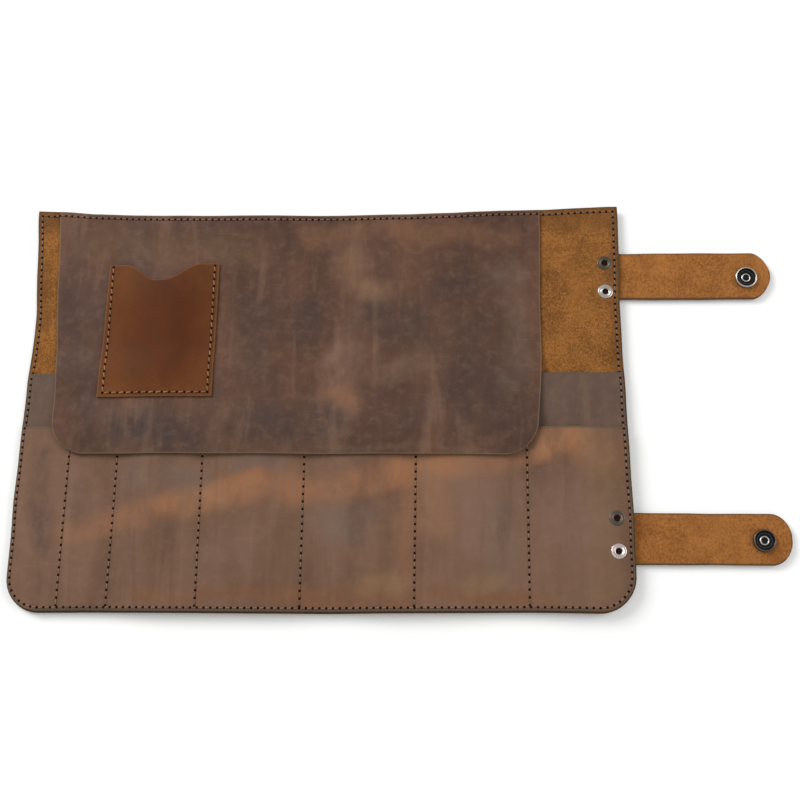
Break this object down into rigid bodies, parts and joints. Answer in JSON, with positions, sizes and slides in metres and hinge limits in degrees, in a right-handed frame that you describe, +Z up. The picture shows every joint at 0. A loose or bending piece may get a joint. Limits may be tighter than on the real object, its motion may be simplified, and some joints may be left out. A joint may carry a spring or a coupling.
{
  "type": "brush roll case",
  "caption": "Leather roll case lying open: a row of stitched tool pockets under a sewn-on flap with a card pocket, folding up and closed by two snap straps.",
  "frame": {"origin": "under the middle of the open case's whole length and width, at the lowest point of its hardware", "axes": "+X along the case towards the strap tips, +Y across it towards the edge that the flap is sewn to, +Z up off the table, out of the pocket side"},
  "size_m": [0.465, 0.256, 0.0149],
  "materials": {
    "suede_leather": "matt orange-tan suede, the flesh side of the hide",
    "grain_leather": "distressed waxed grain leather, dark brown with rust patches",
    "card_leather": "smooth reddish-brown waxed leather",
    "thread": "waxed brown thread",
    "snap_metal": "antique nickel plate",
    "rivet_metal": "antique nickel plate"
  },
  "bodies": {
    "right_strip": {"outer_shell_right": "suede_leather", "back_pocket_panel_right": "grain_leather", "front_pocket_panel_right": "grain_leather", "flap_seam_band_right": "grain_leather", "edge_seam_right": "thread", "divider_seam_right": "thread", "top_strap_base": "suede_leather", "bottom_strap_base": "suede_leather", "strap_rivet_caps": "rivet_metal", "strap_rivet_posts": "rivet_metal"},
    "middle_strip": {"outer_shell_middle": "suede_leather", "back_pocket_panel_middle": "grain_leather", "front_pocket_panel_middle": "grain_leather", "flap_seam_band_middle": "grain_leather", "edge_seam_middle": "thread", "divider_seam_middle": "thread", "snap_studs": "snap_metal", "snap_stud_posts": "snap_metal"},
    "left_strip": {"outer_shell_left": "suede_leather", "back_pocket_panel_left": "grain_leather", "front_pocket_panel_left": "grain_leather", "flap_seam_band_left": "grain_leather", "edge_seam_left": "thread", "divider_seam_left": "thread"},
    "flap_left": {"flap_cover_left": "grain_leather", "card_pocket": "card_leather", "card_pocket_seam": "thread"},
    "flap_middle": {"flap_cover_middle": "grain_leather"},
    "flap_right": {"flap_cover_right": "grain_leather"},
    "top_strap_upright": {"top_strap_side": "suede_leather"},
    "top_strap_tail": {"top_strap_end": "suede_leather", "top_snap_cap": "snap_metal", "top_snap_socket": "snap_metal"},
    "bottom_strap_upright": {"bottom_strap_side": "suede_leather"},
    "bottom_strap_tail": {"bottom_strap_end": "suede_leather", "bottom_snap_cap": "snap_metal", "bottom_snap_socket": "snap_metal"}
  },
  "joints": [
    {"name": "fold_right_line", "type": "hinge", "parent": "right_strip", "child": "middle_strip", "pos_m": [0.0114, 0, 0.0211], "axis": [0, 1, 0], "range_deg": [0, 180]},
    {"name": "fold_left_line", "type": "hinge", "parent": "middle_strip", "child": "left_strip", "pos_m": [-0.1105, 0, 0.0152], "axis": [0, 1, 0], "range_deg": [0, 180]},
    {"name": "flap_swing", "type": "hinge", "parent": "middle_strip", "child": "flap_middle", "pos_m": [-0.05, 0.11575, 0.0075], "axis": [1, 0, 0], "range_deg": [-177, 0]},
    {"name": "flap_swing_left", "type": "hinge", "parent": "left_strip", "child": "flap_left", "pos_m": [-0.165, 0.11575, 0.0075], "axis": [1, 0, 0], "range_deg": [-177, 0]},
    {"name": "flap_swing_right", "type": "hinge", "parent": "right_strip", "child": "flap_right", "pos_m": [0.051, 0.11575, 0.0075], "axis": [1, 0, 0], "range_deg": [-177, 0]},
    {"name": "top_strap_lift", "type": "hinge", "parent": "right_strip", "child": "top_strap_upright", "pos_m": [0.1457, 0.0817, 0.0035], "axis": [0, -1, 0], "range_deg": [0, 90]},
    {"name": "top_strap_wrap", "type": "hinge", "parent": "top_strap_upright", "child": "top_strap_tail", "pos_m": [0.1842, 0.0817, 0.0035], "axis": [0, -1, 0], "range_deg": [0, 90]},
    {"name": "bottom_strap_lift", "type": "hinge", "parent": "right_strip", "child": "bottom_strap_upright", "pos_m": [0.1457, -0.0818, 0.0035], "axis": [0, -1, 0], "range_deg": [0, 90]},
    {"name": "bottom_strap_wrap", "type": "hinge", "parent": "bottom_strap_upright", "child": "bottom_strap_tail", "pos_m": [0.1842, -0.0818, 0.0035], "axis": [0, -1, 0], "range_deg": [0, 90]}
  ],
  "couplings": [
    {"joint": "flap_swing_left", "follows": "flap_swing", "ratio": 1},
    {"joint": "flap_swing_right", "follows": "flap_swing", "ratio": 1},
    {"joint": "top_strap_wrap", "follows": "top_strap_lift", "ratio": 1},
    {"joint": "bottom_strap_wrap", "follows": "bottom_strap_lift", "ratio": 1}
  ]
}
